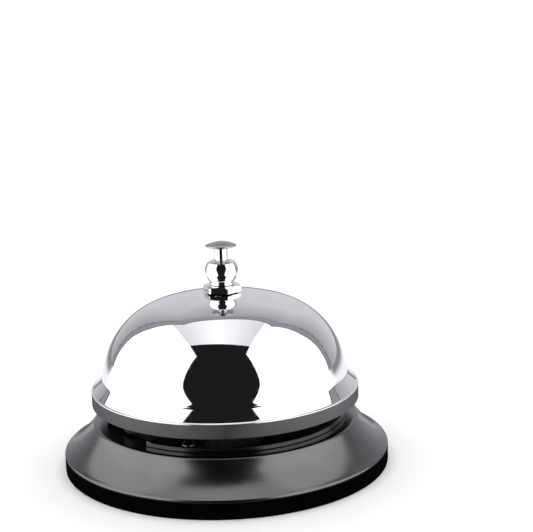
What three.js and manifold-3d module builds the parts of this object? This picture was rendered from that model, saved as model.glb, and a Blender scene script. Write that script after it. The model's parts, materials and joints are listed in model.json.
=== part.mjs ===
// Service bell: a chromed gong on a flared black base, rung by a press button on top.
// The button drives a rod down a hollow post, the rod tips a lever, and the lever's
// hammer swings up and out against the inside of the gong.
// Millimetres, +Z up. The origin is the centre of the face that the base stands on.
import * as THREE from "three";
import { mergeVertices } from "three/addons/utils/BufferGeometryUtils.js";
import Module from "manifold-3d";

const wasm = await Module();
wasm.setup();
const { degToRad, radToDeg } = THREE.MathUtils;

// ---- Driving dimensions ----
const FIT = 0.1; // radial room of a part that is screwed or pushed onto another
const RUN = 0.08; // radial room of a moving fit
const SEAT = 0.05; // gap left between faces that rest on each other
const LARGE = 48; // sides of a large round
const SMALL = 20; // sides of a small round

const foot = { radius: 42.5, ringHeight: 3.7, ringInner: 37.6, lipRadius: 40, lipHeight: 0.7 };
const shell = { sheet: 1, hem: 0.6, ledgeInner: 27.8, crest: 1.3 };
const neck = { radius: 34.9, height: 11.7, slope: 32 }; // where the flare meets the crest, and its lean
const deck = { radius: 31.4, sheet: 1.2, rivetCircle: 29.4, notchInner: 20.5, notchHalfAngle: 18.6 };
const gong = {
  sheet: 0.9, rimRadius: 34.9, rimBottom: 16.9, rimTop: 20.6, edge: 0.3,
  lipLean: 46.5, filletLean: 40, fillet: 1, // how far the lip's face leans back at the rim and at the fillet
  wallRadius: 31.9, shoulder: 21, crown: 58, top: 45.1,
};
const frame = { sheet: 1.2, halfWidth: 8, back: -6, front: 11, height: 11.4, footReach: 15, bend: 0.9 };
const post = {
  radius: 3, thread: 2.4, bore: 1.2, headRadius: 4, headHeight: 1.5,
  chamber: 1.82, chamberFloor: 32, top: 51,
};
const plunger = { rodRadius: 1, stemRadius: 1.65, shoulder: 46, tip: 19.5, travel: 2.6 };
const button = { radius: 4, bottom: 56.3, rim: 57.1, top: 58.3 };
const clampNut = { acrossFlats: 8.8, height: 1.8, turn: 17 };
const finial = {
  collarRadius: 3.25, collar: 0.25, neckRadius: 2.95, ballRadius: 4.25, ballCentre: 50.6, top: 53.3,
};
const washer = { radius: 5.5, height: 1 };
const seatNut = { acrossFlats: 9, height: 2.6 };
const pivot = { x: 7.5, z: 21, radius: 1 };
const lever = {
  sheet: 1.2, top: 19.3, halfWidth: 6.2, cheek: 2.2, drop: 1.2, inner: -2.4, armHalfWidth: 3.2,
};
const hammer = { x: 26, radius: 3.75, height: 3.95, chamfer: 0.5 };
const spring = { wire: 0.2, radius: 1.4, turns: 9 };
const leverAzimuth = 212; // the way the lever points, seen from above, in degrees
const deckRivetAzimuths = [12, 132, 252];

const neckLean = degToRad(neck.slope);
const leverTurn = degToRad(leverAzimuth);
const crestRadius = neck.radius - shell.crest * Math.cos(neckLean);
const crestHeight = neck.height - shell.crest * Math.sin(neckLean);
const ledgeTop = crestHeight + shell.crest;
const deckTop = ledgeTop + SEAT + deck.sheet;
const frameFoot = deckTop + SEAT;
const frameTop = frameFoot + frame.height;
const washerTop = gong.top - gong.sheet - 0.35;
const seatNutBottom = washerTop - washer.height - SEAT - seatNut.height;
const finialBottom = gong.top + SEAT + clampNut.height + SEAT;

// ---- Finishes ----
function finish(color, roughness, metalness) {
  return new THREE.MeshStandardMaterial({ color, roughness, metalness });
}

const chrome = finish(0xdfe0e6, 0.05, 1);
const enamel = finish(0x101012, 0.3, 0);
const rubber = finish(0x0a0a0a, 0.8, 0);
const zinc = finish(0xb4b6b8, 0.35, 1);
const springSteel = finish(0x8f9194, 0.3, 1);
const fibre = finish(0x6b2a1c, 0.7, 0);

// ---- Shape helpers ----
// The [x, y] place at an azimuth in degrees and a radius.
function around(azimuth, radius) {
  const a = degToRad(azimuth);
  return [radius * Math.cos(a), radius * Math.sin(a)];
}

// An arc of a profile, from one angle to another in degrees, as [radius, height] points.
function arc(centreR, centreZ, radius, from, to, steps) {
  return Array.from({ length: steps + 1 }, (_, i) => {
    const [r, z] = around(from + ((to - from) * i) / steps, radius);
    return [centreR + r, centreZ + z];
  });
}

// A closed profile of [radius, height] points, anticlockwise with the axis on its left, spun about Z.
function turned(points, sides = SMALL) {
  const closed = [...points, points[0]].map(([r, z]) => new THREE.Vector2(Math.max(r, 0), z));
  return new THREE.LatheGeometry(closed, sides).rotateX(Math.PI / 2);
}

function ring(inner, outer, bottom, top, sides = SMALL) {
  return turned([[inner, bottom], [outer, bottom], [outer, top], [inner, top]], sides);
}

// A flat outline of [x, y] points raised along Z from bottom to top.
function raised(points, bottom, top) {
  const shape = new THREE.Shape(points.map(([x, y]) => new THREE.Vector2(x, y)));
  const options = { depth: top - bottom, bevelEnabled: false };
  return new THREE.ExtrudeGeometry(shape, options).translate(0, 0, bottom);
}

// A side outline of [x, z] points with its thickness along Y, from y low to y high.
function sideways(points, low, high) {
  return raised(points, -high, -low).rotateX(Math.PI / 2);
}

function solid(geometry) {
  const bare = geometry.clone();
  bare.deleteAttribute("normal");
  bare.deleteAttribute("uv");
  const merged = mergeVertices(bare, 1e-4);
  return new wasm.Manifold(new wasm.Mesh({
    numProp: 3,
    vertProperties: new Float32Array(merged.attributes.position.array),
    triVerts: new Uint32Array(merged.index.array),
  }));
}

function geometryOf(body) {
  const mesh = body.getMesh();
  return new THREE.BufferGeometry()
    .setAttribute("position", new THREE.BufferAttribute(mesh.vertProperties, 3))
    .setIndex(new THREE.BufferAttribute(mesh.triVerts, 1));
}

function drilled(geometry, ...tools) {
  return geometryOf(tools.reduce((body, tool) => body.subtract(solid(tool)), solid(geometry)));
}

// A round drill along Z at x, y, or along Y at x, z.
const drillZ = (radius, x, y, bottom, top) =>
  new THREE.CylinderGeometry(radius, radius, top - bottom, SMALL).rotateX(Math.PI / 2)
    .translate(x, y, (bottom + top) / 2);
const drillY = (radius, x, z, halfLength) =>
  new THREE.CylinderGeometry(radius, radius, 2 * halfLength, SMALL).translate(x, 0, z);

// A hexagon across flats by its height, with the top and bottom corners turned away to a cone.
function hexNut(acrossFlats, bottom, height, bore, turn = 0) {
  const corner = acrossFlats / Math.sqrt(3);
  const prism = new THREE.CylinderGeometry(corner, corner, height, 6).rotateX(Math.PI / 2)
    .rotateZ(turn).translate(0, 0, bottom + height / 2);
  const edge = (corner - acrossFlats / 2) * 0.6;
  const cone = turned([
    [0, bottom], [acrossFlats / 2, bottom], [corner + 0.01, bottom + edge],
    [corner + 0.01, bottom + height - edge], [acrossFlats / 2, bottom + height], [0, bottom + height],
  ], 24);
  const body = solid(prism).intersect(solid(cone));
  return geometryOf(body.subtract(solid(drillZ(bore, 0, 0, bottom - 1, bottom + height + 1))));
}

// A rivet on the Z axis: a domed head on top, a shank, and a flat peened tail.
function rivet(shank, head, gripBottom, gripTop, headHeight, tail = shank * 1.6, tailHeight = 0.7) {
  return turned([
    [0, gripBottom - tailHeight], [tail * 0.8, gripBottom - tailHeight],
    [tail, gripBottom - tailHeight * 0.5], [tail, gripBottom - SEAT], [shank, gripBottom - SEAT],
    [shank, gripTop + SEAT], [head, gripTop + SEAT],
    [head * 0.86, gripTop + SEAT + headHeight * 0.55], [head * 0.5, gripTop + SEAT + headHeight * 0.93],
    [0, gripTop + SEAT + headHeight],
  ], 16);
}

// An open retaining clip about the Z axis: a ring with a mouth towards +X.
function openClip(inner, outer, bottom, top, mouthHalfAngle) {
  const from = mouthHalfAngle;
  const to = 360 - mouthHalfAngle;
  return raised([...arc(0, 0, outer, from, to, 20), ...arc(0, 0, inner, to, from, 16)], bottom, top);
}

// ---- The base ----
function footRing() {
  const { radius, ringHeight, ringInner, lipRadius, lipHeight } = foot;
  return turned([
    [ringInner, 0], [radius - 0.4, 0], [radius, 0.4], [radius, ringHeight], [lipRadius, ringHeight],
    [lipRadius, ringHeight + lipHeight], [ringInner + 0.3, ringHeight + lipHeight], [ringInner, ringHeight],
  ], LARGE);
}

// The flare from the neck down to the hem, moved inwards by an offset to give the sheet's inner face.
function flare(offset, steps) {
  const hemTop = foot.ringHeight + SEAT + 2 * shell.hem;
  const curve = new THREE.CubicBezierCurve(
    new THREE.Vector2(neck.radius, neck.height),
    new THREE.Vector2(neck.radius + 1.3, neck.height - 2.1),
    new THREE.Vector2(foot.radius - 3.6, hemTop + 1.75),
    new THREE.Vector2(foot.radius - shell.hem, hemTop),
  );
  return Array.from({ length: steps + 1 }, (_, i) => {
    const point = curve.getPoint(i / steps);
    const along = curve.getTangent(i / steps);
    return [point.x + along.y * offset, point.y - along.x * offset];
  });
}

function deckRivetHoles() {
  return deckRivetAzimuths.map((azimuth) => drillZ(1 + FIT, ...around(azimuth, deck.rivetCircle), 5, 20));
}

function baseShell() {
  const { sheet, hem, crest, ledgeInner } = shell;
  const hemBottom = foot.ringHeight + SEAT;
  const outside = [
    ...arc(foot.radius - hem, hemBottom + hem, hem, -90, 60, 4),
    ...flare(0, 8).slice(0, -1).reverse(),
    ...arc(crestRadius, crestHeight, crest, neck.slope + 14, 90, 4),
    [ledgeInner, ledgeTop],
  ];
  const inside = [
    [ledgeInner, ledgeTop - sheet],
    [crestRadius, ledgeTop - sheet],
    ...flare(sheet, 5).slice(0, -1),
    [foot.radius - 1.8, hemBottom],
  ];
  return drilled(turned([...outside, ...inside], LARGE), ...deckRivetHoles());
}

// The flat plate that carries the works, with a notch in its edge where the hammer hangs.
function deckPlate(frameRivets) {
  const edge = 0.3;
  const bottom = deckTop - deck.sheet;
  const disc = turned([
    [0, bottom], [deck.radius - edge, bottom], [deck.radius, bottom + edge],
    [deck.radius, deckTop - edge], [deck.radius - edge, deckTop], [0, deckTop],
  ], LARGE);
  const half = deck.notchHalfAngle;
  const notch = raised([
    ...arc(0, 0, deck.radius + 4, -half, half, 6),
    ...arc(0, 0, deck.notchInner, half, -half, 6),
  ], bottom - 1, deckTop + 1).rotateZ(leverTurn);
  const frameHoles = frameRivets.map(([x, y]) => drillZ(1.2 + FIT, x, y, 5, 20).rotateZ(leverTurn));
  return drilled(disc, notch, ...deckRivetHoles(), ...frameHoles);
}

// ---- The gong ----
// The half profile from the rim to the crown, at an inward offset from the outer face. The lip leaves the
// wall by a small fillet and then runs out to the rim in a long shallow curve.
function gongFace(offset, lipEnd, lipSteps, shoulderSteps) {
  const { rimRadius, rimTop, edge, lipLean, filletLean, fillet, wallRadius, shoulder, crown, top } = gong;
  const [lipCos, lipSin] = around(lipLean, 1);
  const [filletCos, filletSin] = around(filletLean, 1);
  const lip = (rimRadius - edge - wallRadius - fillet * (1 - filletCos)) / (filletCos - lipCos);
  const lipR = rimRadius - edge + lip * lipCos;
  const lipZ = rimTop + lip * lipSin;
  const filletZ = lipZ - (lip - fillet) * filletSin;
  const shoulderR = wallRadius - shoulder;
  const rise = Math.sqrt((crown - shoulder) ** 2 - shoulderR ** 2);
  const join = radToDeg(Math.atan2(rise, shoulderR));
  return [
    ...arc(lipR, lipZ, lip + offset, 180 + lipEnd, 180 + filletLean, lipSteps),
    ...arc(wallRadius + fillet, filletZ, fillet + offset, 180 + filletLean, 188, lipSteps).slice(1),
    ...arc(shoulderR, top - crown + rise, shoulder - offset, 4, join, shoulderSteps),
    ...arc(0, top - crown, crown - offset, join, 87, 3).slice(1),
  ];
}

function gongBell() {
  const { sheet, rimRadius, rimBottom, rimTop, edge, lipLean, top } = gong;
  const hole = post.thread + FIT;
  const outside = [
    [rimRadius - sheet, rimBottom + 0.2], [rimRadius - sheet + 0.2, rimBottom],
    [rimRadius - 0.2, rimBottom], [rimRadius, rimBottom + 0.2], [rimRadius, rimTop - edge],
    ...gongFace(0, lipLean, 3, 9), [0, top],
  ];
  const inside = [
    [0, top - sheet], ...gongFace(sheet, lipLean - 1.5, 2, 6).reverse(), [rimRadius - sheet, rimTop - 1],
  ];
  return drilled(turned([...outside, ...inside], LARGE), drillZ(hole, 0, 0, top - 5, top + 5));
}

// ---- The frame and post ----
const frameRivetPlaces = [[-2.5, 11.6], [7.5, 11.6], [-2.5, -11.6], [7.5, -11.6]];

// A hat-shaped strip: two feet on the deck, two legs, and a top that holds the post.
function strikerFrame() {
  const { sheet, halfWidth, back, front, footReach, bend } = frame;
  const [low, high] = [frameFoot, frameTop];
  const half = [
    [footReach, low], [footReach, low + sheet],
    ...arc(halfWidth + bend, low + sheet + bend, bend, 270, 180, 3),
    ...arc(halfWidth - bend - sheet, high - bend - sheet, bend + sheet, 0, 90, 4),
  ];
  const inner = [
    ...arc(halfWidth - sheet - bend, high - sheet - bend, bend, 90, 0, 3),
    ...arc(halfWidth + bend, low + sheet + bend, bend + sheet, 180, 270, 4),
  ];
  const mirrored = (points) => points.map(([y, z]) => [-y, z]).reverse();
  const outline = [...half, ...mirrored(half), ...mirrored(inner), ...inner];
  const strip = raised(outline, back, front).rotateX(Math.PI / 2).rotateZ(Math.PI / 2);
  const tools = [
    drillZ(post.radius + FIT, 0, 0, high - 5, high + 5),
    drillY(pivot.radius + RUN, pivot.x, pivot.z, halfWidth + 5),
    ...frameRivetPlaces.map(([x, y]) => drillZ(1.2 + FIT, x, y, low - 1, low + 3)),
  ];
  return drilled(strip, ...tools);
}

function hollowPost() {
  const head = frameTop - frame.sheet - SEAT;
  const bottom = head - post.headHeight;
  return turned([
    [post.bore, bottom], [post.headRadius - 0.3, bottom], [post.headRadius, bottom + 0.3],
    [post.headRadius, head], [post.radius, head], [post.radius, seatNutBottom - SEAT],
    [post.thread, seatNutBottom - SEAT],
    [post.thread, post.top - 0.3], [post.thread - 0.3, post.top],
    [post.chamber, post.top], [post.chamber, post.chamberFloor], [post.bore, post.chamberFloor],
  ]);
}

// ---- The parts on top ----
function ballFinial() {
  const { collarRadius, collar, neckRadius, ballRadius, ballCentre, top } = finial;
  const bottom = finialBottom;
  const bore = post.thread + FIT;
  const stem = plunger.stemRadius + RUN;
  const lowAngle = -radToDeg(Math.acos(neckRadius / ballRadius));
  const highAngle = radToDeg(Math.asin((top - 0.5 - ballCentre) / ballRadius));
  return turned([
    [bore, bottom], ...arc(collarRadius - collar, bottom + collar, collar, -90, 60, 4),
    ...arc(0, ballCentre, ballRadius, lowAngle, highAngle, 10),
    [2.7, top - 0.1], [2.3, top], [stem + 0.25, top - 0.25], [stem, top - 0.5],
    [stem, post.top + 0.3], [bore, post.top + 0.3],
  ], 32);
}

function pressButton() {
  const { radius, bottom, rim, top } = button;
  const socket = plunger.rodRadius + FIT;
  return turned([
    [socket, bottom + 0.1], [plunger.stemRadius + 0.2, bottom + 0.1], [radius * 0.8, rim - 0.4],
    [radius, rim],
    [radius * 0.95, rim + 0.25], [radius * 0.75, rim + 0.62], [radius * 0.5, rim + 0.92],
    [radius * 0.25, top - 0.05], [0, top], [0, bottom + 1.1], [socket, bottom + 1.1],
  ], 32);
}

function plungerRod() {
  const { rodRadius, stemRadius, shoulder, tip } = plunger;
  const grooveTop = frameTop - frame.sheet - SEAT - post.headHeight - SEAT;
  return turned([
    ...arc(0, tip + rodRadius, rodRadius, 270, 360, 4),
    [rodRadius, grooveTop - 0.65], [rodRadius * 0.72, grooveTop - 0.65], [rodRadius * 0.72, grooveTop + 0.05],
    [rodRadius, grooveTop + 0.05], [rodRadius, shoulder], [stemRadius - 0.2, shoulder],
    [stemRadius, shoulder + 0.2], [stemRadius, button.bottom], [rodRadius, button.bottom],
    [rodRadius, button.bottom + 1], [0, button.bottom + 1],
  ]);
}

function rodClip() {
  const top = frameTop - frame.sheet - SEAT - post.headHeight - SEAT;
  return openClip(plunger.rodRadius * 0.72 + 0.1, 2.2, top - 0.6, top, 28);
}

// A coil wound on a cylinder about Z, with its ends laid flat against their seats.
class Helix extends THREE.Curve {
  constructor(radius, bottom, top, turns) {
    super();
    Object.assign(this, { radius, bottom, top, turns });
  }
  getPoint(t, target = new THREE.Vector3()) {
    const a = t * this.turns * 2 * Math.PI;
    const flat = 1 / this.turns;
    const rise = THREE.MathUtils.clamp((t - flat / 2) / (1 - flat), 0, 1);
    const z = this.bottom + (this.top - this.bottom) * rise;
    return target.set(this.radius * Math.cos(a), this.radius * Math.sin(a), z);
  }
}

function returnSpring() {
  const bottom = post.chamberFloor + SEAT + spring.wire;
  const top = plunger.shoulder - SEAT - spring.wire;
  const section = new THREE.Shape(arc(0, 0, spring.wire, 0, 288, 4).map(([x, y]) => new THREE.Vector2(x, y)));
  const path = new Helix(spring.radius, bottom, top, spring.turns);
  const steps = spring.turns * 10;
  return new THREE.ExtrudeGeometry(section, { steps, extrudePath: path, bevelEnabled: false });
}

// ---- The striker ----
function strikerLever() {
  const { sheet, top, halfWidth, cheek, drop, inner, armHalfWidth } = lever;
  const low = top - sheet;
  const end = hammer.x + 3.6;
  const side = sideways([
    [inner, low], [12, low], [19, low - drop], [end, low - drop],
    [end, top - drop], [19, top - drop], [12, top], [inner, top],
  ], -halfWidth, halfWidth);
  const plan = raised([
    [inner, -4.5], [inner + 2, -halfWidth], [11, -halfWidth], [14, -armHalfWidth],
    ...arc(hammer.x, 0, 3.5, -66, 66, 8),
    [14, armHalfWidth], [11, halfWidth], [inner + 2, halfWidth], [inner, 4.5],
  ], low - drop - 1, top + 1);
  const cheekOutline = [
    [pivot.x - cheek - 1, low], [pivot.x + cheek + 1, low],
    ...arc(pivot.x, pivot.z, cheek, 0, 180, 10),
  ];
  const cheeks = [-halfWidth, halfWidth - sheet].map((y) => solid(sideways(cheekOutline, y, y + sheet)));
  const body = cheeks.reduce((sum, plate) => sum.add(plate), solid(side).intersect(solid(plan)));
  return drilled(geometryOf(body),
    drillY(pivot.radius + RUN, pivot.x, pivot.z, halfWidth + 2),
    drillZ(1.2 + FIT, hammer.x, 0, low - 5, top + 5));
}

const hammerTop = lever.top - lever.sheet - lever.drop - SEAT;
const hammerBottom = hammerTop - hammer.height;

function hammerHead() {
  const { radius, chamfer } = hammer;
  return turned([
    [1.2 + FIT, hammerBottom], [radius - chamfer, hammerBottom], [radius, hammerBottom + chamfer],
    [radius, hammerTop - chamfer], [radius - chamfer, hammerTop], [1.2 + FIT, hammerTop],
  ], 32);
}

function pivotPin() {
  const reach = frame.halfWidth + 1.4;
  const head = -frame.halfWidth - SEAT;
  const groove = frame.halfWidth + 0.2;
  return turned([
    [0, head - 0.9], [1.5, head - 0.9], [1.8, head - 0.6], [1.8, head], [pivot.radius, head],
    [pivot.radius, groove], [0.72, groove], [0.72, groove + 0.6], [pivot.radius, groove + 0.6],
    [pivot.radius, reach - 0.2], [pivot.radius - 0.2, reach], [0, reach],
  ]);
}

// ---- Assembly ----
const bell = new THREE.Group();
const works = new THREE.Group(); // everything set out along the lever, which points along its +X
works.rotation.z = leverTurn;
bell.add(works);

function add(parent, name, geometry, material, x = 0, y = 0, z = 0) {
  const mesh = new THREE.Mesh(geometry, material);
  mesh.name = name;
  mesh.position.set(x, y, z);
  parent.add(mesh);
  return mesh;
}

add(bell, "rubber_foot_ring", footRing(), rubber);
add(bell, "base_shell", baseShell(), enamel);
add(bell, "deck_plate", deckPlate(frameRivetPlaces), enamel);
deckRivetAzimuths.forEach((azimuth, i) => {
  const grip = [ledgeTop - shell.sheet, deckTop];
  const place = around(azimuth, deck.rivetCircle);
  add(bell, `deck_rivet_${i + 1}`, rivet(1, 1.6, ...grip, 0.7), enamel, ...place);
});

add(works, "striker_frame", strikerFrame(), zinc);
frameRivetPlaces.forEach(([x, y], i) => {
  const grip = [deckTop - deck.sheet, frameFoot + frame.sheet];
  add(works, `frame_rivet_${i + 1}`, rivet(1.2, 2.2, ...grip, 1), zinc, x, y);
});
add(works, "hollow_post", hollowPost(), zinc);
add(works, "post_lock_washer", ring(post.radius + FIT, 5.4, frameTop + SEAT, frameTop + SEAT + 0.8), zinc);
add(works, "post_nut", hexNut(10, frameTop + 2 * SEAT + 0.8, 3, post.radius + FIT), zinc);

const thread = post.thread + FIT;
add(works, "gong_seat_nut", hexNut(seatNut.acrossFlats, seatNutBottom, seatNut.height, thread), zinc);
add(works, "fibre_washer", ring(thread, washer.radius, washerTop - washer.height, washerTop), fibre);
add(bell, "gong", gongBell(), chrome);
const clampTurn = degToRad(clampNut.turn);
const topNut = hexNut(clampNut.acrossFlats, gong.top + SEAT, clampNut.height, thread, clampTurn);
add(bell, "clamp_nut", topNut, chrome);
add(bell, "ball_finial", ballFinial(), chrome);

add(bell, "plunger_rod", plungerRod(), chrome);
add(bell, "press_button", pressButton(), chrome);
add(works, "rod_clip", rodClip(), springSteel);
add(bell, "return_spring", returnSpring(), springSteel);

add(works, "striker_lever", strikerLever(), zinc);
add(works, "hammer", hammerHead(), zinc, hammer.x);
const hammerGrip = [hammerBottom, hammerTop + SEAT + lever.sheet];
add(works, "hammer_rivet", rivet(1.2, 2.2, ...hammerGrip, 0.9, 1.6, 0.45), zinc, hammer.x);
const pin = add(works, "pivot_pin", pivotPin(), zinc, pivot.x, 0, pivot.z);
pin.rotation.x = -Math.PI / 2;
const pinClip = add(works, "pivot_clip", openClip(0.82, 1.9, 0, 0.5, 28), springSteel);
pinClip.position.set(pivot.x, frame.halfWidth + 0.25, pivot.z);
pinClip.rotation.x = -Math.PI / 2;

export default bell;
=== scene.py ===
"""Service bell: the looks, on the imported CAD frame.

Metres, +Z up, origin at the centre of the foot's underside."""

import json
import math

import bmesh
import bpy
from mathutils import Matrix, Vector, geometry


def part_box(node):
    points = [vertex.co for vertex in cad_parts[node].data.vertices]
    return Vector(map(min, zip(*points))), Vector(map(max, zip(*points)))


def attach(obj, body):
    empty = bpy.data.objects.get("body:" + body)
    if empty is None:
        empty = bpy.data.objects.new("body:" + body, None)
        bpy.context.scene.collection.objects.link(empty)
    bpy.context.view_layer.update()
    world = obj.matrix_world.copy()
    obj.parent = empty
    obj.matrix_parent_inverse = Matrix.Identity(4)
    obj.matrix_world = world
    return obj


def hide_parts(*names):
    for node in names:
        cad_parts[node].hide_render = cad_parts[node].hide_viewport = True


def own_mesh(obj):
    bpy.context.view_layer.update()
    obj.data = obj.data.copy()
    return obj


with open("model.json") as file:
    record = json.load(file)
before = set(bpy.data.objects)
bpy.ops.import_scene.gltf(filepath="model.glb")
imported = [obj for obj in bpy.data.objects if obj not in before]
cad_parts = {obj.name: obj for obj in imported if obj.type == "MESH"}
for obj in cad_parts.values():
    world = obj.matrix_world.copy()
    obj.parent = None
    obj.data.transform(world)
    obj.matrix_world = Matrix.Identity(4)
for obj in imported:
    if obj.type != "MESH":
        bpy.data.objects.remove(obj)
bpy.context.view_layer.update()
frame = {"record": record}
MM = 0.001

# ---- Sizes, in millimetres ----
SEAT = 0.05  # gap between faces that rest on each other
ROUND = 128  # sides of a large round
MEDIUM = 64
SMALL = 40


def top(node):
    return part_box(node)[1].z / MM


def bottom(node):
    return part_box(node)[0].z / MM


def reach(node):
    """Half a node's width across X: the radius of a round one on the Z axis."""
    low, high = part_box(node)
    return (high.x - low.x) / 2 / MM


LEVER_AZIMUTH = math.radians(212)  # the way the lever points, seen from above
LEVER_TURN = Matrix.Rotation(LEVER_AZIMUTH, 4, "Z")

SHEET = {"gong": 0.9, "base": 1.0}
GONG = {"rim": reach("gong"), "low": bottom("gong"), "high": 45.1, "band": 3.7, "edge": 0.3, "fillet": 1.0,
        "lip_lean": 46.5, "fillet_lean": 40.0, "wall": 31.9, "shoulder": 21.0, "crown": 58.0}
FOOT = {"radius": reach("rubber_foot_ring"), "height": 3.7, "inner": 37.6, "lip_radius": 40.0, "lip": 0.7}
SHELL = {"hem": 0.6, "ledge_inner": 27.8, "crest": 1.3}
NECK = {"radius": 34.9, "z": 11.7, "slope": 32}  # where the flare meets the crest, and its lean in degrees
DECK = {"notch_inner": 20.5, "notch_half_angle": 18.6}
POST = {"radius": 3.0, "thread": 2.4, "bore": 1.2, "chamber": 1.82, "head_height": 1.5, "floor": 32.0}
THREAD_BORE = POST["thread"] + 0.1
ROD = {"radius": 1.0, "stem": 1.65, "shoulder": 46.0}
FINIAL = {"collar_radius": 3.25, "collar": 0.25, "neck": 2.95, "ball": 4.25, "centre": 50.6}
NUT = {"flats": 8.8, "turn": 17}
SPRING = {"wire": 0.2, "radius": 1.4, "turns": 9}
HAMMER = {"x": 26.0, "radius": 3.75}
PIVOT = {"x": 7.5, "z": 21.0, "radius": 1.0, "leg": 8.0}


# ---- Profiles ----
def arc(centre_r, centre_z, radius, start, stop, steps):
    """Points [radius, height] on an arc, angles in degrees."""
    angles = [math.radians(start + (stop - start) * i / steps) for i in range(steps + 1)]
    return [(centre_r + radius * math.cos(a), centre_z + radius * math.sin(a)) for a in angles]


def eased(corners, steps=4):
    """A closed outline of (x, y, rounding) corners, each rounding drawn as a short curve."""
    points = []
    for i, (x, y, *rounding) in enumerate(corners):
        here = Vector((x, y))
        radius = rounding[0] if rounding else 0
        if not radius:
            points.append((x, y))
            continue
        before = Vector(corners[i - 1][:2]) - here
        after = Vector(corners[(i + 1) % len(corners)][:2]) - here
        a = here + before.normalized() * min(radius, before.length * 0.49)
        b = here + after.normalized() * min(radius, after.length * 0.49)
        for k in range(steps + 1):
            t = k / steps
            points.append(tuple(a * (1 - t) ** 2 + here * 2 * t * (1 - t) + b * t ** 2))
    return points


# ---- Mesh makers ----
def make_object(name, mesh_maker, place=Matrix(), sharp=35):
    """An object in metres from a bmesh made in millimetres, smooth but for edges over `sharp` degrees."""
    bm = bmesh.new()
    mesh_maker(bm)
    bmesh.ops.remove_doubles(bm, verts=bm.verts, dist=1e-4)
    bmesh.ops.recalc_face_normals(bm, faces=bm.faces)
    bm.transform(Matrix.Scale(MM, 4) @ place)
    mesh = bpy.data.meshes.new(name)
    bm.to_mesh(mesh)
    bm.free()
    mesh.polygons.foreach_set("use_smooth", [True] * len(mesh.polygons))
    mesh.set_sharp_from_angle(angle=math.radians(sharp))
    obj = bpy.data.objects.new(name, mesh)
    bpy.context.scene.collection.objects.link(obj)
    return obj


def held(profile, margin=0.04):
    """The profile with a point just inside each end of its long straights, so that they shade straight."""
    corners = [Vector(point) for point in profile]
    spans = [(after - here).length for here, after in zip(corners, corners[1:] + corners[:1])]
    points = []
    for i, here in enumerate(corners):
        points.append(tuple(here))
        after, span = corners[(i + 1) % len(corners)], spans[i]
        if span > max(10 * margin, 3 * spans[i - 1], 3 * spans[(i + 1) % len(spans)]):
            points += [tuple(here.lerp(after, t)) for t in (margin / span, 1 - margin / span)]
    return points


def lathe(name, profile, sides=ROUND, place=Matrix(), sharp=35):
    """A closed profile of [radius, height] points spun about Z."""
    def spin(bm):
        rings = []
        for r, z in held(profile):
            if r < 1e-6:
                rings.append([bm.verts.new((0, 0, z))])
                continue
            turn = [2 * math.pi * k / sides for k in range(sides)]
            rings.append([bm.verts.new((r * math.cos(a), r * math.sin(a), z)) for a in turn])
        for low, high in zip(rings, rings[1:] + rings[:1]):
            if len(low) == 1 and len(high) == 1:
                continue
            for k in range(sides):
                n = (k + 1) % sides
                corners = [low[k % len(low)], low[n % len(low)], high[n % len(high)], high[k % len(high)]]
                bm.faces.new(list(dict.fromkeys(corners)))
    return make_object(name, spin, place, sharp)


def hex_nut(name, across_flats, low, high, bore, turn=0.0, place=Matrix(), cut_below=True):
    """A hexagon with its ends turned away to a 30 degree cone, so each flat ends in a curve."""
    def build(bm):
        sides, bore_chamfer, broken_edge = 96, 0.25, 0.08
        face = across_flats / 2
        turned = face * 0.98  # the radius where the cone meets the nut's end
        blunt = face / math.cos(math.pi / 6) * 0.99  # the corners are worn a little short
        drop = math.tan(math.radians(30))
        rows = [[] for _ in range(8)]
        for k in range(sides):
            a = 2 * math.pi * k / sides
            past_flat = (a + math.pi / 6) % (math.pi / 3)
            from_flat = min(past_flat, math.pi / 3 - past_flat)
            corner = min(face / math.cos(from_flat), blunt)
            cut = (corner - turned) * drop
            cut_low = cut if cut_below else broken_edge
            mouth = bore + bore_chamfer
            ring = [(bore, low + bore_chamfer), (mouth, low), (turned, low), (corner, low + cut_low),
                    (corner, high - cut), (turned, high), (mouth, high), (bore, high - bore_chamfer)]
            for row, (r, z) in zip(rows, ring):
                row.append(bm.verts.new((r * math.cos(a + turn), r * math.sin(a + turn), z)))
        for low_row, high_row in zip(rows, rows[1:] + rows[:1]):
            for k in range(sides):
                n = (k + 1) % sides
                bm.faces.new((low_row[k], low_row[n], high_row[n], high_row[k]))
    return make_object(name, build, place, sharp=12)


def plate(name, outline, low, high, edge=0.15, place=Matrix()):
    """A flat outline of [x, y] points, anticlockwise, given a thickness and slightly broken edges."""
    def build(bm):
        count = len(outline)
        inset = []
        for i, (x, y) in enumerate(outline):
            before, after = Vector(outline[i - 1]), Vector(outline[(i + 1) % count])
            along = (after - before).normalized()
            inset.append((x - along.y * edge, y + along.x * edge))
        rows = [[bm.verts.new((x, y, z)) for x, y in points] for points, z in
                ((inset, low), (outline, low + edge), (outline, high - edge), (inset, high))]
        for low_row, high_row in zip(rows, rows[1:]):
            for i in range(count):
                n = (i + 1) % count
                bm.faces.new((low_row[i], low_row[n], high_row[n], high_row[i]))
        bm.faces.new(rows[0][::-1])
        bm.faces.new(rows[-1])
    return make_object(name, build, place, sharp=25)


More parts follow.
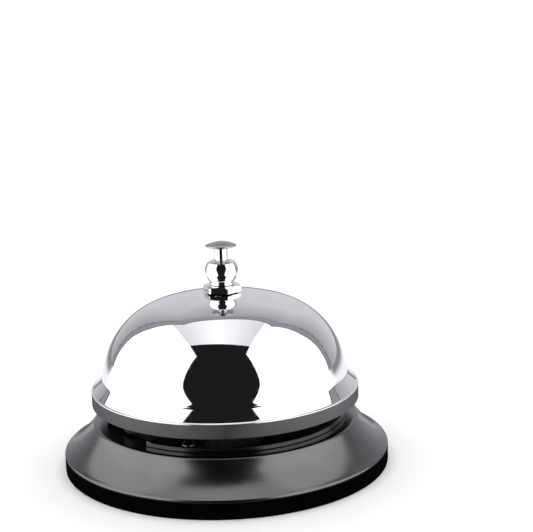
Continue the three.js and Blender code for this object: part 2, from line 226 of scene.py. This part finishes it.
def coil(name, radius, wire, low, high, turns, steps=28, sides=10):
    """A round wire wound about Z, with half a turn laid flat at each end."""
    def build(bm):
        count = turns * steps
        rings = []
        for i in range(count + 1):
            t = i / count
            a = 2 * math.pi * turns * t
            rise = min(max((t - 0.5 / turns) / (1 - 1 / turns), 0), 1)
            height = low + wire + (high - low - 2 * wire) * rise
            centre = Vector((radius * math.cos(a), radius * math.sin(a), height))
            outward = Vector((math.cos(a), math.sin(a), 0))
            turn = [2 * math.pi * k / sides for k in range(sides)]
            rings.append([
                bm.verts.new(centre + outward * wire * math.cos(b) + Vector((0, 0, wire * math.sin(b))))
                for b in turn
            ])
        for one, other in zip(rings, rings[1:]):
            for k in range(sides):
                n = (k + 1) % sides
                bm.faces.new((one[k], one[n], other[n], other[k]))
        bm.faces.new(rings[0][::-1])
        bm.faces.new(rings[-1])
    return make_object(name, build)


# ---- Materials ----
def material(name, colour, roughness, metallic):
    """A new material with a Principled shader; returns it, its shader, a node maker and its links."""
    mat = bpy.data.materials.new(name)
    mat.use_nodes = True
    tree = mat.node_tree
    shader = tree.nodes["Principled BSDF"]
    shader.inputs["Base Color"].default_value = (*colour, 1)
    shader.inputs["Roughness"].default_value = roughness
    shader.inputs["Metallic"].default_value = metallic

    def node(kind, **settings):
        made = tree.nodes.new(kind)
        for key, value in settings.items():
            if key in made.inputs:
                made.inputs[key].default_value = value
            else:
                setattr(made, key, value)
        return made

    return mat, shader, node, tree.links


def noise(node, links, scale, detail=3.0, stretch=(1, 1, 1), rough=0.55):
    """Noise in object space, which can be stretched into scratches or streaks."""
    where = node("ShaderNodeTexCoord")
    mapping = node("ShaderNodeMapping", Scale=stretch)
    made = node("ShaderNodeTexNoise", Scale=scale, Detail=detail, Roughness=rough)
    links.new(where.outputs["Object"], mapping.inputs["Vector"])
    links.new(mapping.outputs["Vector"], made.inputs["Vector"])
    return made.outputs["Fac"]


def spread(node, links, value, low, high, start=0.35, stop=0.65):
    """Maps a noise value to a range."""
    made = node("ShaderNodeMapRange")
    made.inputs["From Min"].default_value = start
    made.inputs["From Max"].default_value = stop
    made.inputs["To Min"].default_value = low
    made.inputs["To Max"].default_value = high
    links.new(value, made.inputs["Value"])
    return made.outputs["Result"]


def tint(node, links, value, low, high, start=0.3, stop=0.7):
    """A colour between two, by a noise value."""
    ramp = node("ShaderNodeValToRGB")
    ramp.color_ramp.elements[0].position, ramp.color_ramp.elements[1].position = start, stop
    ramp.color_ramp.elements[0].color, ramp.color_ramp.elements[1].color = (*low, 1), (*high, 1)
    links.new(value, ramp.inputs["Fac"])
    return ramp.outputs["Color"]


def bump(node, links, shader, value, strength, distance):
    made = node("ShaderNodeBump", Strength=strength, Distance=distance)
    links.new(value, made.inputs["Height"])
    links.new(made.outputs["Normal"], shader.inputs["Normal"])


def chrome_plate():
    """Bright plate: nearly a mirror, with faint polishing haze and a slow unevenness in the sheet."""
    mat, shader, node, links = material("chrome_plate", (0.9, 0.9, 0.92), 0.04, 1)
    haze = noise(node, links, 900, 4)
    links.new(spread(node, links, haze, 0.015, 0.06), shader.inputs["Roughness"])
    slow = noise(node, links, 60, 2)
    links.new(tint(node, links, slow, (0.87, 0.87, 0.9), (0.93, 0.93, 0.945)), shader.inputs["Base Color"])
    bump(node, links, shader, noise(node, links, 120, 1), 0.006, 0.0004)
    return mat


def nickel_plate():
    """The button's softer plate, dulled by fingers."""
    mat, shader, node, links = material("nickel_plate", (0.45, 0.45, 0.445), 0.3, 1)
    rubbed = noise(node, links, 500, 5)
    links.new(spread(node, links, rubbed, 0.16, 0.34), shader.inputs["Roughness"])
    links.new(tint(node, links, rubbed, (0.36, 0.36, 0.352), (0.52, 0.52, 0.51)), shader.inputs["Base Color"])
    bump(node, links, shader, noise(node, links, 2500, 3), 0.06, 0.0001)
    return mat


def black_enamel():
    """Black plate-like lacquer over pressed steel: satin, with a little orange peel and fine dust in it."""
    mat, shader, node, links = material("black_enamel", (0.17, 0.17, 0.174), 0.2, 1)
    patch = noise(node, links, 140, 4)
    links.new(spread(node, links, patch, 0.185, 0.22), shader.inputs["Roughness"])
    links.new(tint(node, links, patch, (0.16, 0.16, 0.164), (0.18, 0.18, 0.185)), shader.inputs["Base Color"])
    bump(node, links, shader, noise(node, links, 1600, 2), 0.1, 0.0001)
    return mat


def gong_inside():
    """The gong's unpolished inside: grey-black plating whose darkness is painted shade under the gong, with a
    coarse drawn grain.
    """
    # The near-black colour is painted shade: it keeps the gap under the gong dark.
    mat, shader, node, links = material("gong_inside", (0.06, 0.06, 0.062), 0.5, 1)
    grain = noise(node, links, 600, 5, stretch=(1, 1, 5))
    links.new(spread(node, links, grain, 0.4, 0.6), shader.inputs["Roughness"])
    links.new(tint(node, links, grain, (0.03, 0.03, 0.032), (0.1, 0.1, 0.103)), shader.inputs["Base Color"])
    bump(node, links, shader, grain, 0.1, 0.0001)
    return mat


def black_oxide():
    """The lever's and hammer's dull blackened steel."""
    mat, shader, node, links = material("black_oxide", (0.03, 0.03, 0.032), 0.5, 0.6)
    worn = noise(node, links, 700, 5)
    links.new(spread(node, links, worn, 0.42, 0.6), shader.inputs["Roughness"])
    links.new(tint(node, links, worn, (0.02, 0.02, 0.021), (0.05, 0.05, 0.052)), shader.inputs["Base Color"])
    bump(node, links, shader, noise(node, links, 3000, 3), 0.15, 0.0001)
    return mat


def foot_rubber():
    """Matt black rubber with a fine moulded grain."""
    mat, shader, node, links = material("foot_rubber", (0.0006, 0.0006, 0.0006), 0.8, 0)
    shader.inputs["Specular IOR Level"].default_value = 0.02
    dust = noise(node, links, 400, 5)
    links.new(spread(node, links, dust, 0.7, 0.88), shader.inputs["Roughness"])
    shade = tint(node, links, dust, (0.0003, 0.0003, 0.0003), (0.0009, 0.0009, 0.0009))
    links.new(shade, shader.inputs["Base Color"])
    bump(node, links, shader, noise(node, links, 4000, 2), 0.2, 0.0001)
    return mat


def zinc_plate():
    """Pressed and turned steel under zinc: grey, slightly mottled, with fine drawing lines."""
    mat, shader, node, links = material("zinc_plate", (0.55, 0.56, 0.58), 0.35, 1)
    mottle = noise(node, links, 350, 4)
    lines = noise(node, links, 900, 3, stretch=(1, 1, 9))
    links.new(spread(node, links, lines, 0.26, 0.44), shader.inputs["Roughness"])
    links.new(tint(node, links, mottle, (0.46, 0.47, 0.49), (0.62, 0.62, 0.62)), shader.inputs["Base Color"])
    bump(node, links, shader, lines, 0.08, 0.0001)
    return mat


def spring_wire():
    mat, shader, node, links = material("spring_wire", (0.42, 0.43, 0.45), 0.3, 1)
    drawn = noise(node, links, 1500, 3)
    links.new(spread(node, links, drawn, 0.22, 0.38), shader.inputs["Roughness"])
    links.new(tint(node, links, drawn, (0.36, 0.37, 0.39), (0.5, 0.5, 0.52)), shader.inputs["Base Color"])
    return mat


def red_fibre():
    """Vulcanised fibre: dull red-brown with short pressed fibres."""
    mat, shader, node, links = material("red_fibre", (0.25, 0.06, 0.03), 0.7, 0)
    fibres = noise(node, links, 900, 6, stretch=(1, 6, 1))
    links.new(tint(node, links, fibres, (0.2, 0.045, 0.025), (0.33, 0.1, 0.05)), shader.inputs["Base Color"])
    links.new(spread(node, links, fibres, 0.62, 0.8), shader.inputs["Roughness"])
    bump(node, links, shader, fibres, 0.2, 0.0001)
    return mat


FINISHES = {
    "chrome": chrome_plate(), "nickel": nickel_plate(), "black_enamel": black_enamel(),
    "black_oxide": black_oxide(), "rubber": foot_rubber(), "zinc": zinc_plate(),
    "spring_steel": spring_wire(), "fibre": red_fibre(), "gong_inside": gong_inside(),
}
NODE_SLOTS = {s["node"]: s["material_slot"] for s in frame["record"]["subparts"]}
BODY_OF = {node: body for body, nodes in frame["record"]["behaviour"]["bodies"].items() for node in nodes}


def stand_for(piece, node):
    """The piece takes a CAD node's place, its body and its finish."""
    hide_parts(node)
    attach(piece, BODY_OF[node])
    piece.data.materials.clear()
    piece.data.materials.append(FINISHES[NODE_SLOTS[node]])
    return piece


# ---- The base ----
def foot_ring():
    f = FOOT
    profile = eased([
        (f["inner"], 0, 0.3), (f["radius"], 0, 0.5), (f["radius"], f["height"], 0.25),
        (f["lip_radius"], f["height"]), (f["lip_radius"], f["height"] + f["lip"]),
        (f["inner"] + 0.3, f["height"] + f["lip"], 0.1), (f["inner"], f["height"], 0.1),
    ])
    stand_for(lathe("foot_ring", profile), "rubber_foot_ring")


def flare(offset, steps):
    """The flare from the neck to the hem: a cubic curve, moved inwards for the sheet's inner face."""
    hem_top = FOOT["height"] + SEAT + 2 * SHELL["hem"]
    p0 = Vector((NECK["radius"], NECK["z"]))
    p1 = Vector((NECK["radius"] + 1.3, NECK["z"] - 2.1))
    p2 = Vector((FOOT["radius"] - 3.6, hem_top + 1.75))
    p3 = Vector((FOOT["radius"] - SHELL["hem"], hem_top))
    points = []
    for i in range(steps + 1):
        t = i / steps
        u = 1 - t
        point = p0 * u ** 3 + p1 * 3 * t * u * u + p2 * 3 * t * t * u + p3 * t ** 3
        along = ((p1 - p0) * u * u + (p2 - p1) * 2 * t * u + (p3 - p2) * t * t).normalized()
        points.append((point.x + along.y * offset, point.y - along.x * offset))
    return points


def flared_shell():
    hem, crest = SHELL["hem"], SHELL["crest"]
    lean = math.radians(NECK["slope"])
    crest_r = NECK["radius"] - crest * math.cos(lean)
    crest_z = NECK["z"] - crest * math.sin(lean)
    ledge = crest_z + crest
    hem_low = FOOT["height"] + SEAT
    profile = [
        *arc(FOOT["radius"] - hem, hem_low + hem, hem, -90, 60, 8),
        *reversed(flare(0, 40)[:-1]),
        *arc(crest_r, crest_z, crest, NECK["slope"] + 6, 90, 10),
        (SHELL["ledge_inner"] + 0.15, ledge), (SHELL["ledge_inner"], ledge - 0.15),
        (SHELL["ledge_inner"], ledge - SHEET["base"]), (crest_r, ledge - SHEET["base"]),
        *flare(SHEET["base"], 30)[:-1],
        (FOOT["radius"] - 1.8, hem_low),
    ]
    stand_for(lathe("flared_shell", profile), "base_shell")


# ---- The gong ----
def gong_face(offset, lip_end, steps):
    """From the lip's edge to the crown: a long shallow lip, a small fillet, the shoulder and the crown."""
    g = GONG
    lip_cos, lip_sin = arc(0, 0, 1, g["lip_lean"], 0, 1)[0]
    fillet_cos, fillet_sin = arc(0, 0, 1, g["fillet_lean"], 0, 1)[0]
    edge = g["rim"] - g["edge"]
    lip = (edge - g["wall"] - g["fillet"] * (1 - fillet_cos)) / (fillet_cos - lip_cos)
    lip_z = g["low"] + g["band"] + lip * lip_sin
    fillet_z = lip_z - (lip - g["fillet"]) * fillet_sin
    shoulder_r = g["wall"] - g["shoulder"]
    rise = math.sqrt((g["crown"] - g["shoulder"]) ** 2 - shoulder_r ** 2)
    shoulder_z = g["high"] - g["crown"] + rise
    join = math.degrees(math.atan2(rise, shoulder_r))
    foot = math.degrees(math.asin((fillet_z - shoulder_z) / g["shoulder"]))
    return [
        *arc(edge + lip * lip_cos, lip_z, lip + offset, 180 + lip_end, 180 + g["fillet_lean"], steps // 4),
        *arc(g["wall"] + g["fillet"], fillet_z, g["fillet"] + offset, 180 + g["fillet_lean"], 180 + foot,
             steps // 4)[1:],
        *arc(shoulder_r, shoulder_z, g["shoulder"] - offset, foot + 0.4, join, steps),
        *arc(0, g["high"] - g["crown"], g["crown"] - offset, join, 87.1, steps // 2)[1:],
    ]


def bell_gong():
    """The gong: polished outside, and dull and near black inside, which is painted shade under the gong."""
    g = GONG
    sheet = SHEET["gong"]
    band_top = g["low"] + g["band"]
    hole = THREAD_BORE
    bead = g["edge"] / 2
    outside = [
        *arc(g["rim"] - 0.25, g["low"] + 0.25, 0.25, -90, 0, 4),
        *arc(g["rim"] - bead, band_top - bead, bead, 0, 90, 6),
        *gong_face(0, g["lip_lean"], 48), (hole, g["high"] - 0.08),
    ]
    inside = [
        (hole, g["high"] - sheet - 0.08), *reversed(gong_face(sheet, g["lip_lean"] - 1.5, 24)),
        (g["rim"] - sheet, band_top - 1), (g["rim"] - sheet, g["low"] + 0.25),
        (g["rim"] - sheet + 0.25, g["low"]),
    ]
    gong = stand_for(lathe("bell_gong", outside + inside, 192, sharp=50), "gong")
    # The inside faces take a near-black finish: painted shade under the gong.
    gong.data.materials.append(FINISHES["gong_inside"])
    inner = [Vector(p) for p in inside[1:-1]]
    for face in gong.data.polygons:
        middle = face.center / MM
        place = Vector((math.hypot(middle.x, middle.y), middle.z))
        if min(distance_to_line(place, a, b) for a, b in zip(inner, inner[1:])) < 0.1:
            face.material_index = 1


def distance_to_line(point, a, b):
    nearest, along = geometry.intersect_point_line(point, a, b)
    if 0 <= along <= 1:
        return (point - nearest.to_2d()).length
    return min((point - a).length, (point - b).length)


# ---- The parts on top ----
def ball_knob():
    f = FINIAL
    low, high = bottom("ball_finial"), top("ball_finial")
    under = -math.degrees(math.acos(f["neck"] / f["ball"]))
    over = math.degrees(math.asin((high - 0.5 - f["centre"]) / f["ball"]))
    bore = ROD["stem"] + 0.08
    inside = top("hollow_post") + 0.3
    profile = [
        (THREAD_BORE, low),
        *arc(f["collar_radius"] - f["collar"], low + f["collar"], f["collar"], -90, 60, 10),
        *arc(0, f["centre"], f["ball"], under, over, 28),
        *arc(2.55, high - 0.35, 0.35, 40, 90, 4), (2.3, high - 0.02), (bore + 0.25, high - 0.3),
        (bore, high - 0.6), (bore, inside), (THREAD_BORE, inside),
    ]
    stand_for(lathe("ball_knob", profile, 96), "ball_finial")


def push_button():
    low, high, radius = bottom("press_button"), top("press_button"), reach("press_button")
    socket = ROD["radius"] + 0.1
    profile = [
        (socket, low), (ROD["stem"] + 0.2, low), (radius * 0.8, low + 0.3),
        *arc(radius - 0.25, low + 0.75, 0.25, -70, 60, 6),
        (radius * 0.8, low + 1.24), (radius * 0.6, low + 1.5), (radius * 0.4, low + 1.7),
        (radius * 0.2, high - 0.05), (0, high), (0, low + 1), (socket, low + 1),
    ]
    stand_for(lathe("push_button", profile, MEDIUM, sharp=50), "press_button")


def push_rod():
    tip, r, stem = bottom("plunger_rod"), ROD["radius"], ROD["stem"]
    groove = top("rod_clip") + 0.05
    end = top("plunger_rod")
    profile = [
        *arc(0, tip + r, r, 270, 360, 8),
        (r, groove - 0.7), (r * 0.72, groove - 0.7), (r * 0.72, groove), (r, groove), (r, ROD["shoulder"]),
        (stem - 0.2, ROD["shoulder"]), (stem, ROD["shoulder"] + 0.2),
        (stem, end - 1), (r, end - 1), (r, end), (0, end),
    ]
    stand_for(lathe("push_rod", profile, SMALL), "plunger_rod")


def gong_fixings():
    low, high = bottom("clamp_nut"), top("clamp_nut")
    turn = math.radians(NUT["turn"] - 90)
    nut = hex_nut("top_nut", NUT["flats"], low, high, THREAD_BORE, turn, cut_below=False)
    stand_for(nut, "clamp_nut")
    low, high = bottom("gong_seat_nut"), top("gong_seat_nut")
    stand_for(hex_nut("seat_nut", 9, low, high, THREAD_BORE, math.pi / 6, LEVER_TURN), "gong_seat_nut")
    washer("seat_washer", "fibre_washer", THREAD_BORE)


def washer(name, node, bore):
    low, high, outer = bottom(node), top(node), reach(node)
    profile = eased([(bore, low), (outer, low, 0.12), (outer, high, 0.12), (bore, high, 0.12)])
    stand_for(lathe(name, profile, MEDIUM), node)


# ---- The works under the gong ----
def works():
    low, high = bottom("hollow_post"), top("hollow_post")
    step = bottom("gong_seat_nut") - SEAT
    head = low + POST["head_height"]
    profile = eased([
        (POST["bore"], low), (reach("hollow_post"), low, 0.3), (reach("hollow_post"), head, 0.1),
        (POST["radius"], head), (POST["radius"], step, 0.2),
        (POST["thread"], step), (POST["thread"], high, 0.3),
        (POST["chamber"], high, 0.1), (POST["chamber"], POST["floor"]), (POST["bore"], POST["floor"]),
    ])
    stand_for(lathe("hollow_stem", profile, MEDIUM), "hollow_post")
    hole = POST["radius"] + 0.1
    washer("stem_washer", "post_lock_washer", hole)
    low, high = bottom("post_nut"), top("post_nut")
    stand_for(hex_nut("stem_nut", 10, low, high, hole, math.pi / 6, LEVER_TURN), "post_nut")
    spring_low, spring_high = bottom("return_spring"), top("return_spring")
    spring = coil("coil_spring", SPRING["radius"], SPRING["wire"], spring_low, spring_high, SPRING["turns"])
    stand_for(spring, "return_spring")
    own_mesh(spring)
    clip("stem_clip", "rod_clip", ROD["radius"] * 0.72 + 0.1, 2.2,
         LEVER_TURN @ Matrix.Translation((0, 0, bottom("rod_clip"))), top("rod_clip") - bottom("rod_clip"))


def clip(name, node, inner, outer, place, thick):
    """An open ring with a mouth of 28 degrees each way towards the lever's outer end."""
    mouth = 28
    outline = arc(0, 0, outer, mouth, 360 - mouth, 36) + arc(0, 0, inner, 360 - mouth, mouth, 28)
    stand_for(plate(name, outline, 0, thick, 0.05, place), node)


def rivets():
    """Every rivet has a domed head above and a flat tail below; its axis is the middle of its node's box."""
    # shank radius, head height, tail height
    heads = {"deck_rivet": (1.0, 0.7, 0.7), "frame_rivet": (1.2, 1.0, 0.7), "hammer_rivet": (1.2, 0.9, 0.45)}
    for node in NODE_SLOTS:
        kind = next((k for k in heads if node.startswith(k)), None)
        if not kind:
            continue
        shank, head_height, tail_height = heads[kind]
        low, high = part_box(node)
        head = (high.x - low.x) / 2 / MM
        z0, z1 = low.z / MM, high.z / MM
        tail = shank * (1.35 if kind == "hammer_rivet" else 1.6)
        seat = z1 - head_height
        profile = [
            (0, z0), (tail * 0.8, z0), (tail, z0 + tail_height * 0.5), (tail, z0 + tail_height),
            (shank, z0 + tail_height), (shank, seat), (head - 0.06, seat), (head, seat + 0.06),
            *[(head * math.cos(a), seat + 0.12 + (head_height - 0.12) * math.sin(a))
              for a in [math.radians(10 * k) for k in range(1, 9)]], (0, z1),
        ]
        middle = (low + high) / 2 / MM
        stand_for(lathe(node + "_turned", profile, SMALL, Matrix.Translation((middle.x, middle.y, 0))), node)


def striker():
    low, high = bottom("hammer"), top("hammer")
    profile = eased([(1.3, low), (HAMMER["radius"], low, 0.6), (HAMMER["radius"], high, 0.6), (1.3, high)], 6)
    place = LEVER_TURN @ Matrix.Translation((HAMMER["x"], 0, 0))
    stand_for(lathe("hammer_head", profile, MEDIUM, place), "hammer")
    leg, radius = PIVOT["leg"], PIVOT["radius"]
    head, groove, end = -leg - SEAT, leg + 0.2, leg + 1.4
    lying = Matrix.Rotation(-math.pi / 2, 4, "X")
    across = LEVER_TURN @ Matrix.Translation((PIVOT["x"], 0, PIVOT["z"])) @ lying
    profile = [
        (0, head - 0.9), *arc(1.5, head - 0.6, 0.3, -90, 0, 4), (1.8, head), (radius, head),
        (radius, groove), (0.72, groove), (0.72, groove + 0.6), (radius, groove + 0.6),
        (radius, end - 0.2), (radius - 0.2, end), (0, end),
    ]
    stand_for(lathe("lever_pin", profile, SMALL, across), "pivot_pin")
    pin_clip = LEVER_TURN @ Matrix.Translation((PIVOT["x"], leg + 0.25, PIVOT["z"]))
    clip("lever_pin_clip", "pivot_clip", 0.82, 1.9, pin_clip @ lying, 0.5)


def deck_disc():
    """The deck plate: a disc with a notch in its edge, where the hammer hangs."""
    half, outer = DECK["notch_half_angle"], reach("deck_plate")
    rim = arc(0, 0, outer, half + 1, 360 - half - 1, 160)
    notch = arc(0, 0, DECK["notch_inner"], -half, half, 16)
    disc = plate("deck_disc", rim + notch, bottom("deck_plate"), top("deck_plate"), 0.12, LEVER_TURN)
    stand_for(disc, "deck_plate")


foot_ring()
flared_shell()
deck_disc()
bell_gong()
ball_knob()
push_button()
push_rod()
gong_fixings()
works()
rivets()
striker()

# The striker frame and the lever keep their CAD shape and only take their finish.
for part in [o for o in bpy.data.objects if o.type == "MESH" and o.name in NODE_SLOTS]:
    part.data.materials.clear()
    part.data.materials.append(FINISHES[NODE_SLOTS[part.name]])


# ---- The studio ----
def emitter(name, colour, strength):
    mat = bpy.data.materials.new(name)
    mat.use_nodes = True
    nodes = mat.node_tree.nodes
    nodes.clear()
    glow = nodes.new("ShaderNodeEmission")
    glow.inputs["Color"].default_value = (*colour, 1)
    glow.inputs["Strength"].default_value = strength
    out = nodes.new("ShaderNodeOutputMaterial")
    mat.node_tree.links.new(glow.outputs[0], out.inputs["Surface"])
    return mat


def staged(name, mesh):
    """Puts a panel of the light tent in the scene, seen only in reflections."""
    obj = bpy.data.objects.new(name, mesh)
    bpy.context.scene.collection.objects.link(obj)
    obj.visible_camera = False
    obj.visible_diffuse = False
    obj.visible_shadow = False


def card(name, corners, mat):
    mesh = bpy.data.meshes.new(name)
    mesh.from_pydata([Vector(c) for c in corners], [], [tuple(range(len(corners)))])
    mesh.materials.append(mat)
    staged(name, mesh)


def painted(name, rows):
    """A sheet from rows of (point, brightness): it glows as brightly as its points say."""
    columns = len(rows[0])
    points = [point for row in rows for point, _ in row]
    faces = [(j * columns + i, j * columns + i + 1, (j + 1) * columns + i + 1, (j + 1) * columns + i)
             for j in range(len(rows) - 1) for i in range(columns - 1)]
    mesh = bpy.data.meshes.new(name)
    mesh.from_pydata(points, [], faces)
    glow = mesh.color_attributes.new("glow", "FLOAT_COLOR", "POINT")
    levels = [level for row in rows for _, level in row]
    glow.data.foreach_set("color", [c for level in levels for c in (level, level, level * 1.06, 1)])
    mat = emitter(name, (1, 1, 1), 1)
    paint = mat.node_tree.nodes.new("ShaderNodeVertexColor")
    paint.layer_name = "glow"
    source = next(n for n in mat.node_tree.nodes if n.type == "EMISSION")
    mat.node_tree.links.new(paint.outputs["Color"], source.inputs["Color"])
    mesh.materials.append(mat)
    staged(name, mesh)


def glow_ramp(name, axis, stops):
    """An emitter whose brightness follows one axis of its own box."""
    mat = emitter(name, (1, 1, 1), 1)
    nodes, links = mat.node_tree.nodes, mat.node_tree.links
    where = nodes.new("ShaderNodeTexCoord")
    ramp = nodes.new("ShaderNodeValToRGB")
    split = nodes.new("ShaderNodeSeparateXYZ")
    links.new(where.outputs["Generated"], split.inputs[0])
    links.new(split.outputs[axis], ramp.inputs["Fac"])
    marks = ramp.color_ramp.elements
    while len(marks) < len(stops):
        marks.new(0.5)
    for mark, (place, level) in zip(marks, stops):
        mark.position, mark.color = place, (level, level, level * 1.03, 1)
    glow = next(n for n in nodes if n.type == "EMISSION")
    links.new(ramp.outputs["Color"], glow.inputs["Color"])
    return mat, glow


TENT = 2.0  # distance from the bell to the front of the light tent
TENT_TOP = TENT / 0.52
# The black gap's left and right edges at its full width. Below half of TENT it narrows, as WAIST says:
# (height as a share of TENT, share of the full width).
GAP = (-0.84 * TENT, 0.66 * TENT)
WAIST = [(-0.7, 0.56), (-0.08, 0.7), (0.12, 0.86), (0.3, 0.96), (0.5, 1)]
ROOF_BACK = (-0.95 * TENT, 0.76 * TENT)  # the roof strip's left and right edges at its far end
PANEL_GLOW = 1.5
ROOF_GLOW = 1.15
GAP_GLOW = 0.0115
SKY_GLOW = 1.3
# The grey back's height, right edge and left edge, in degrees as seen from the bell.
BACK = [(-60, 112, -128), (-14, 112, -128), (14, 114, -131), (38, 119, -135), (57, 131, -146)]
BACK_GLOW = {"edge": 0.1, "frame": 0.3, "line": 0.17, "inside": 0.36, "rise": 0.28}
# The dark patch that the gong's rim band reflects, set a little nearer the camera.
TABLE = {"radius": 0.095, "shift": -0.008}
CAMERA = {"lens": 80, "sensor": 36, "at": (0.0025, -0.3004, 0.1099),
          "aside": -1.74, "down": 11.02, "roll": -1.45}  # turns in degrees


def gap_edge(x):
    """One edge of the black gap from the bottom up, where x is its place at the full width."""
    return [(x * share, -TENT, height * TENT) for height, share in WAIST] + [(x, -TENT, TENT_TOP)]


def light_tent():
    """White side panels with a black gap between them for the camera, and a white roof strip."""
    white = emitter("panel_white", (1, 1, 1), PANEL_GLOW)
    black = emitter("gap_black", (1, 1, 1.02), GAP_GLOW)
    left, right = GAP
    low = -0.7 * TENT
    front_end, back_end = -0.22 * TENT_TOP, 0.75 * TENT_TOP
    slant = 0.2  # the roof strip's near edge is this much out of square at each end
    left_edge, right_edge = gap_edge(left), gap_edge(right)
    card("gap_front", right_edge + left_edge[::-1], black)
    card("gap_roof", [(left, -TENT, TENT_TOP), (right, -TENT, TENT_TOP), (right, front_end - slant, TENT_TOP),
                      (left, front_end + slant, TENT_TOP)], black)
    roof, glow = glow_ramp("roof_white", "X", [(0, 0.66), (0.15, 0.74), (0.5, 1), (0.85, 0.74), (1, 0.66)])
    glow.inputs["Strength"].default_value = ROOF_GLOW
    card("roof", [(left, front_end + slant, TENT_TOP), (right, front_end - slant, TENT_TOP),
                  (ROOF_BACK[1], back_end, TENT_TOP), (ROOF_BACK[0], back_end, TENT_TOP)], roof)
    far = 2.6 * TENT
    card("side_left", left_edge + [(-far, 0.9 * TENT, TENT_TOP), (-far, 2.0 * TENT, low)], white)
    card("side_right", right_edge + [(far, 0.5 * TENT, TENT_TOP), (far, 1.0 * TENT, low)], white)


def on_dome(azimuth, height, radius=4.5):
    """A point of a large dome. Azimuth 0 is the camera's side and grows towards +X."""
    a, e = math.radians(azimuth), math.radians(height)
    return (radius * math.cos(e) * math.sin(a), -radius * math.cos(e) * math.cos(a), radius * math.sin(e))


def grey_back(columns=120, rows=90):
    """The dimmer room behind the bell: BACK lists its right and left edges at rising heights, in degrees.

    It has a darker frame inside its edges, narrow low down and wider near the top."""
    table = []
    for j in range(rows + 1):
        height = BACK[0][0] + (BACK[-1][0] - BACK[0][0]) * j / rows
        low, high = next((a, b) for a, b in zip(BACK, BACK[1:]) if height <= b[0] + 1e-6)
        t = (height - low[0]) / (high[0] - low[0])
        right = low[1] + (high[1] - low[1]) * t
        left = 360 + low[2] + (high[2] - low[2]) * t
        row = []
        for i in range(columns + 1):
            azimuth = right + (left - right) * i / columns
            from_edge = min(azimuth - right, left - azimuth, (BACK[-1][0] - height) * 1.5)
            frame_width = 4 + 6 * min(max(height / 40, 0), 1)
            row.append((on_dome(azimuth, height), back_level(from_edge, frame_width)))
        table.append(row)
    painted("grey_back", table)


def back_level(from_edge, frame_width):
    """The back's brightness: a dark edge, a frame, a thin dark line, then a slow rise towards the middle."""
    if from_edge < 1:
        return BACK_GLOW["edge"]
    if from_edge < frame_width:
        return BACK_GLOW["frame"]
    if from_edge < frame_width + 1.5:
        return BACK_GLOW["line"]
    return BACK_GLOW["inside"] + BACK_GLOW["rise"] * min((from_edge - frame_width) / 32, 1)


def bright_table(columns=90):
    """The white table beyond the dark patch, with a dark path towards the camera that narrows at the bell."""
    near_glow, far_glow = 0.95, 0.26  # behind the bell, close to it and far from it
    table = []
    for radius in (TABLE["radius"], 0.11, 0.13, 0.16, 0.2, 0.26, 0.35, 0.6, 1.2, 2.0):
        narrowing = 13 * (0.1 / radius) ** 1.5
        right, left = 33 - narrowing, 320 + narrowing
        row = []
        for i in range(columns + 1):
            azimuth = right + (left - right) * i / columns
            a = math.radians(azimuth)
            behind = min(max((61 - abs(azimuth - 172)) / 6, 0), 1)
            far_off = min(max((radius - 0.16) / 0.14, 0), 1)
            level = PANEL_GLOW * (1 - behind) + (near_glow + (far_glow - near_glow) * far_off) * behind
            row.append(((radius * math.sin(a), TABLE["shift"] - radius * math.cos(a), -0.0005), level))
        table.append(row)
    painted("bright_table", table)


def studio():
    world = bpy.data.worlds.new("studio")
    bpy.context.scene.world = world
    world.use_nodes = True
    sky = world.node_tree.nodes["Background"]
    sky.inputs["Color"].default_value = (1, 1, 1, 1)
    sky.inputs["Strength"].default_value = SKY_GLOW
    light_tent()
    grey_back()
    bright_table()
    mesh = bpy.data.meshes.new("floor")
    mesh.from_pydata([(-6, -6, 0), (6, -6, 0), (6, 6, 0), (-6, 6, 0)], [], [(0, 1, 2, 3)])
    floor = bpy.data.objects.new("floor", mesh)
    bpy.context.scene.collection.objects.link(floor)
    pale, *_ = material("pale_floor", (0.85, 0.85, 0.85), 0.9, 0)
    mesh.materials.append(pale)
    floor.visible_glossy = False
    table, _ = glow_ramp("table_grey", "X", [(0, 0.15), (0.2, 0.11), (0.5, 0.045), (0.8, 0.12), (1, 0.16)])
    rim = [2 * math.pi * k / 96 for k in range(96)]
    radius, shift = TABLE["radius"], TABLE["shift"]
    card("dark_table", [(radius * math.cos(a), radius * math.sin(a) + shift, -0.001) for a in rim], table)
    bpy.context.scene.view_settings.view_transform = "Standard"


def camera():
    """An 80 mm lens looking 11 degrees down from just above the bell, as the photograph was taken."""
    data = bpy.data.cameras.new("camera")
    data.lens, data.sensor_width = CAMERA["lens"], CAMERA["sensor"]
    obj = bpy.data.objects.new("camera", data)
    bpy.context.scene.collection.objects.link(obj)
    aside = Matrix.Rotation(math.radians(CAMERA["aside"]), 4, "Z")
    down = Matrix.Rotation(math.radians(90 - CAMERA["down"]), 4, "X")
    roll = Matrix.Rotation(math.radians(CAMERA["roll"]), 4, "Z")
    obj.matrix_world = Matrix.Translation(CAMERA["at"]) @ aside @ down @ roll
    bpy.context.scene.camera = obj


studio()
camera()
